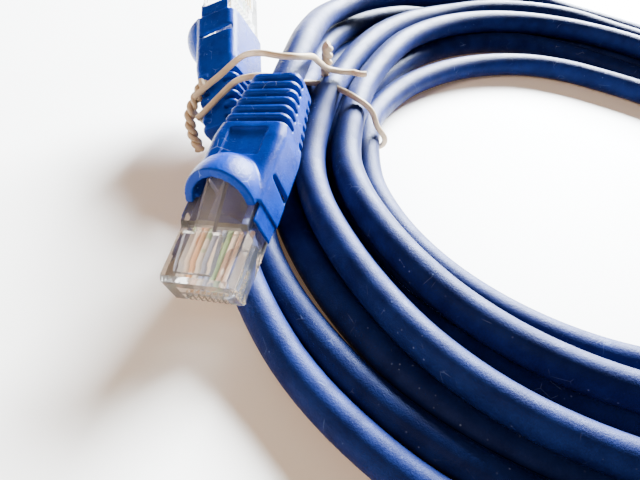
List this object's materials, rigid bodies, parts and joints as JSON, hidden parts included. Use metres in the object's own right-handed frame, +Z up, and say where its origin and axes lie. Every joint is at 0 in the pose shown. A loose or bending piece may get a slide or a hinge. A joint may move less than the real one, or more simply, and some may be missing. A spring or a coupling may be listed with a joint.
{
  "type": "ethernet patch cable",
  "caption": "Coiled blue ethernet patch cable with clear modular plugs, snagless boots with hoods and ribbed strain reliefs, held by a wire twist tie.",
  "frame": {"origin": "on the surface the coil rests on, under the middle of the whole object's box", "axes": "+Z up from the resting surface; +X from the plugs and the tie across the coil; +Y along the coil's other diameter, the way the first plug's cable leaves it"},
  "size_m": [0.1748, 0.1668, 0.028],
  "materials": {
    "clear_polycarbonate": "clear, glossy, injection moulded",
    "boot_blue": "satin flexible PVC with a fine speckle",
    "gold_contact": "gold-plated",
    "jacket_blue": "satin PVC",
    "tie_cream": "satin plastic coating",
    "wire_white_orange": "satin insulation",
    "wire_orange": "satin insulation",
    "wire_white_green": "satin insulation",
    "wire_blue": "satin insulation",
    "wire_white_blue": "satin insulation",
    "wire_green": "satin insulation",
    "wire_white_brown": "satin insulation",
    "wire_brown": "satin insulation"
  },
  "bodies": {
    "cable": {"plug_a_body": "clear_polycarbonate", "boot_a": "boot_blue", "contact_a_1": "gold_contact", "conductor_a_1": "wire_white_orange", "contact_a_2": "gold_contact", "conductor_a_2": "wire_orange", "contact_a_3": "gold_contact", "conductor_a_3": "wire_white_green", "contact_a_4": "gold_contact", "conductor_a_4": "wire_blue", "contact_a_5": "gold_contact", "conductor_a_5": "wire_white_blue", "contact_a_6": "gold_contact", "conductor_a_6": "wire_green", "contact_a_7": "gold_contact", "conductor_a_7": "wire_white_brown", "contact_a_8": "gold_contact", "conductor_a_8": "wire_brown", "plug_b_body": "clear_polycarbonate", "boot_b": "boot_blue", "contact_b_1": "gold_contact", "conductor_b_1": "wire_white_orange", "contact_b_2": "gold_contact", "conductor_b_2": "wire_orange", "contact_b_3": "gold_contact", "conductor_b_3": "wire_white_green", "contact_b_4": "gold_contact", "conductor_b_4": "wire_blue", "contact_b_5": "gold_contact", "conductor_b_5": "wire_white_blue", "contact_b_6": "gold_contact", "conductor_b_6": "wire_green", "contact_b_7": "gold_contact", "conductor_b_7": "wire_white_brown", "contact_b_8": "gold_contact", "conductor_b_8": "wire_brown", "cable_coil": "jacket_blue", "cable_tail_a": "jacket_blue", "cable_tail_b": "jacket_blue", "twist_tie": "tie_cream"},
    "latch_a": {"plug_a_latch": "clear_polycarbonate"},
    "latch_b": {"plug_b_latch": "clear_polycarbonate"}
  },
  "joints": [
    {"name": "latch_a_press", "type": "hinge", "parent": "cable", "child": "latch_a", "pos_m": [-0.07047, -0.05019, 0.01121], "axis": [-0.9272, 0.2394, -0.2882], "range_deg": [0, 6.5], "stiffness_Nm_per_rad": 0.5},
    {"name": "latch_b_press", "type": "hinge", "parent": "cable", "child": "latch_b", "pos_m": [-0.08371, 0.02825, 0.01964], "axis": [-0.43, -0.3995, 0.8096], "range_deg": [0, 6.5], "stiffness_Nm_per_rad": 0.5}
  ]
}
